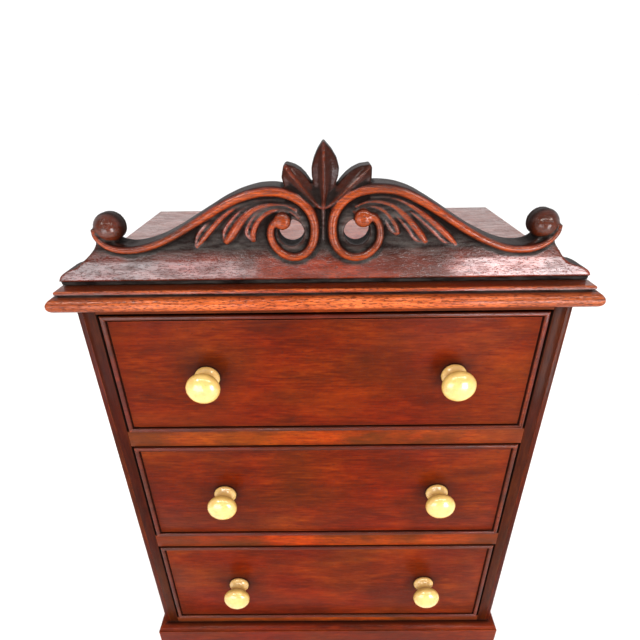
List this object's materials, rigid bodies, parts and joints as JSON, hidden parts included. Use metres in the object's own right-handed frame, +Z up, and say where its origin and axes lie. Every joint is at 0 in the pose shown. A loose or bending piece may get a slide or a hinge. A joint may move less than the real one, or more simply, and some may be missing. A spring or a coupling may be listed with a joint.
{
  "type": "miniature chest of drawers",
  "caption": "Miniature chest with graduated drawers on turned knobs, cockbeaded fronts, a moulded top and a carved, scrolled gallery along its front edge.",
  "frame": {"origin": "on the plane the chest stands on, under the middle of the whole box round it: midway between the sides, and midway between the knob tips and the back", "axes": "+X to the right of someone facing the drawers, +Y from the drawers to the back, +Z up"},
  "size_m": [0.301, 0.193, 0.4243],
  "materials": {
    "mahogany": "french polished",
    "lining_wood": "bare, worn smooth",
    "bone": "polished bone",
    "brass": "dull",
    "steel": "dull"
  },
  "bodies": {
    "carcass": {"back_nails": "steel", "back_panel": "lining_wood", "bottom_board": "lining_wood", "bottom_rail": "mahogany", "carved_gallery": "mahogany", "corner_blocks": "lining_wood", "drawer_stops": "lining_wood", "gallery_screws": "brass", "left_kicker": "lining_wood", "left_side": "mahogany", "left_stile": "mahogany", "lower_left_runner": "lining_wood", "lower_rail": "mahogany", "lower_right_runner": "lining_wood", "plinth_front": "mahogany", "plinth_left": "mahogany", "plinth_right": "mahogany", "right_kicker": "lining_wood", "right_side": "mahogany", "right_stile": "mahogany", "top_board": "mahogany", "top_dowels": "lining_wood", "top_rail": "mahogany", "upper_left_runner": "lining_wood", "upper_rail": "mahogany", "upper_right_runner": "lining_wood"},
    "upper_drawer": {"upper_drawer_back": "lining_wood", "upper_drawer_bottom": "lining_wood", "upper_drawer_cockbead": "mahogany", "upper_drawer_front": "mahogany", "upper_drawer_left_knob": "bone", "upper_drawer_left_side": "lining_wood", "upper_drawer_pins": "steel", "upper_drawer_right_knob": "bone", "upper_drawer_right_side": "lining_wood"},
    "middle_drawer": {"middle_drawer_back": "lining_wood", "middle_drawer_bottom": "lining_wood", "middle_drawer_cockbead": "mahogany", "middle_drawer_front": "mahogany", "middle_drawer_left_knob": "bone", "middle_drawer_left_side": "lining_wood", "middle_drawer_pins": "steel", "middle_drawer_right_knob": "bone", "middle_drawer_right_side": "lining_wood"},
    "lower_drawer": {"lower_drawer_back": "lining_wood", "lower_drawer_bottom": "lining_wood", "lower_drawer_cockbead": "mahogany", "lower_drawer_front": "mahogany", "lower_drawer_left_knob": "bone", "lower_drawer_left_side": "lining_wood", "lower_drawer_pins": "steel", "lower_drawer_right_knob": "bone", "lower_drawer_right_side": "lining_wood"}
  },
  "joints": [
    {"name": "upper_drawer_slide", "type": "slide", "parent": "carcass", "child": "upper_drawer", "axis": [0, -1, 0], "range_m": [0, 0.12]},
    {"name": "middle_drawer_slide", "type": "slide", "parent": "carcass", "child": "middle_drawer", "axis": [0, -1, 0], "range_m": [0, 0.12]},
    {"name": "lower_drawer_slide", "type": "slide", "parent": "carcass", "child": "lower_drawer", "axis": [0, -1, 0], "range_m": [0, 0.12]}
  ]
}
